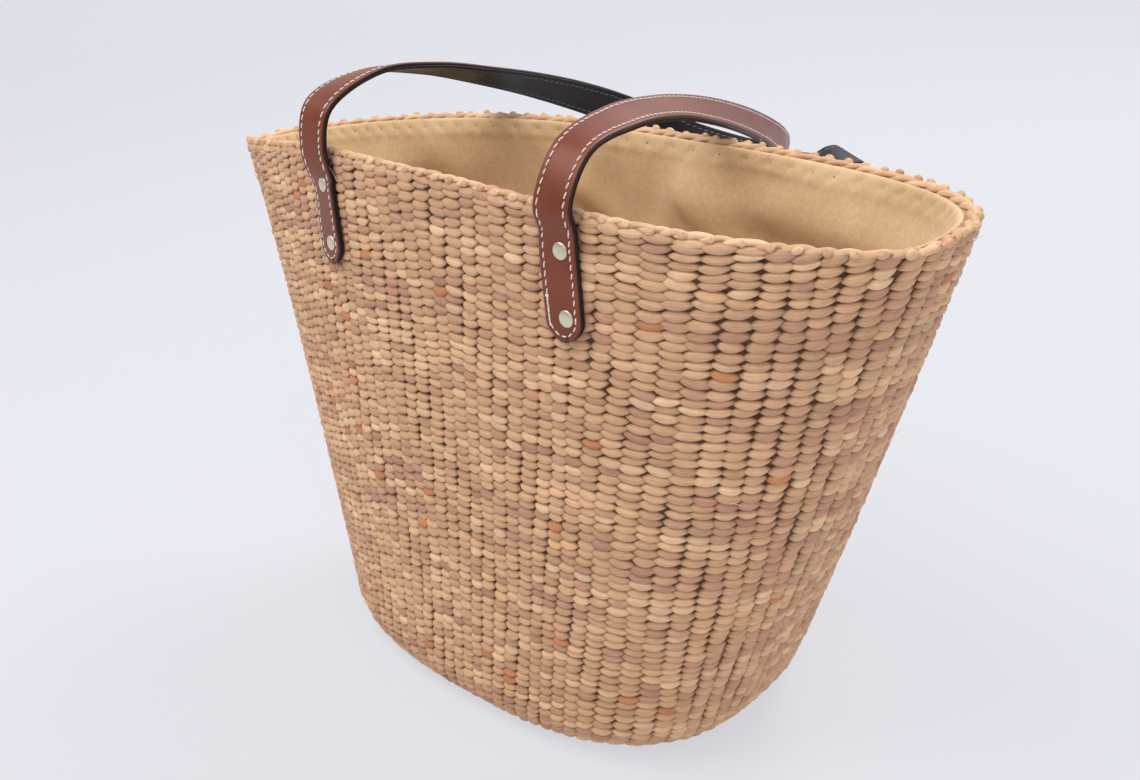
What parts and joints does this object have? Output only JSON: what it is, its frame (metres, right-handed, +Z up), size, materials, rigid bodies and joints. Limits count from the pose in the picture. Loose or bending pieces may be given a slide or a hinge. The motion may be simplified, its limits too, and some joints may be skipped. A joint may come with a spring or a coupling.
{
  "type": "straw tote bag",
  "caption": "Woven straw tote bag with a plaited rim, a sewn cotton lining and two riveted leather strap handles that swing; the front one lies back over the mouth.",
  "frame": {"origin": "the middle of the woven base, on the flat surface that the bag stands on", "axes": "+X runs along the bag's length (its longest side), to the right as seen from the front; the front wall, with the handle that lies over the mouth, faces -Y; +Z is up."},
  "size_m": [0.4896, 0.3096, 0.3331],
  "materials": {
    "woven_straw": "tightly woven plant fibre, matt with a slight sheen, uneven tan to pinkish",
    "cotton_lining": "plain cotton canvas, matt khaki tan, softly creased",
    "strap_leather": "reddish brown leather with dark painted edges, semi-gloss",
    "strap_backing": "near-black smooth leather backing, semi-gloss",
    "patch_leather": "undyed reinforcing leather, matt",
    "rivet_metal": "pale gold plated, polished domes"
  },
  "bodies": {
    "bag": {"front_left_tab_face": "strap_leather", "front_right_tab_face": "strap_leather", "front_left_tab_backing": "strap_backing", "front_right_tab_backing": "strap_backing", "front_left_patch": "patch_leather", "front_left_upper_rivet_head": "rivet_metal", "front_left_upper_rivet_socket": "rivet_metal", "front_left_lower_rivet_head": "rivet_metal", "front_left_lower_rivet_socket": "rivet_metal", "front_right_patch": "patch_leather", "front_right_upper_rivet_head": "rivet_metal", "front_right_upper_rivet_socket": "rivet_metal", "front_right_lower_rivet_head": "rivet_metal", "front_right_lower_rivet_socket": "rivet_metal", "back_left_tab_face": "strap_leather", "back_right_tab_face": "strap_leather", "back_left_tab_backing": "strap_backing", "back_right_tab_backing": "strap_backing", "back_left_patch": "patch_leather", "back_left_upper_rivet_head": "rivet_metal", "back_left_upper_rivet_socket": "rivet_metal", "back_left_lower_rivet_head": "rivet_metal", "back_left_lower_rivet_socket": "rivet_metal", "back_right_patch": "patch_leather", "back_right_upper_rivet_head": "rivet_metal", "back_right_upper_rivet_socket": "rivet_metal", "back_right_lower_rivet_head": "rivet_metal", "back_right_lower_rivet_socket": "rivet_metal", "woven_wall": "woven_straw", "woven_base": "woven_straw", "rim_braid": "woven_straw", "lining_front": "cotton_lining", "lining_back": "cotton_lining", "lining_bottom": "cotton_lining"},
    "front_handle": {"front_loop_face": "strap_leather", "front_loop_backing": "strap_backing"},
    "back_handle": {"back_loop_face": "strap_leather", "back_loop_backing": "strap_backing"}
  },
  "joints": [
    {"name": "front_handle_swing", "type": "hinge", "parent": "bag", "child": "front_handle", "pos_m": [0, -0.053, 0.323], "axis": [1, 0, 0], "range_deg": [0, 175]},
    {"name": "back_handle_swing", "type": "hinge", "parent": "bag", "child": "back_handle", "pos_m": [0, 0.0906, 0.2944], "axis": [1, 0, 0], "range_deg": [0, 170]}
  ]
}
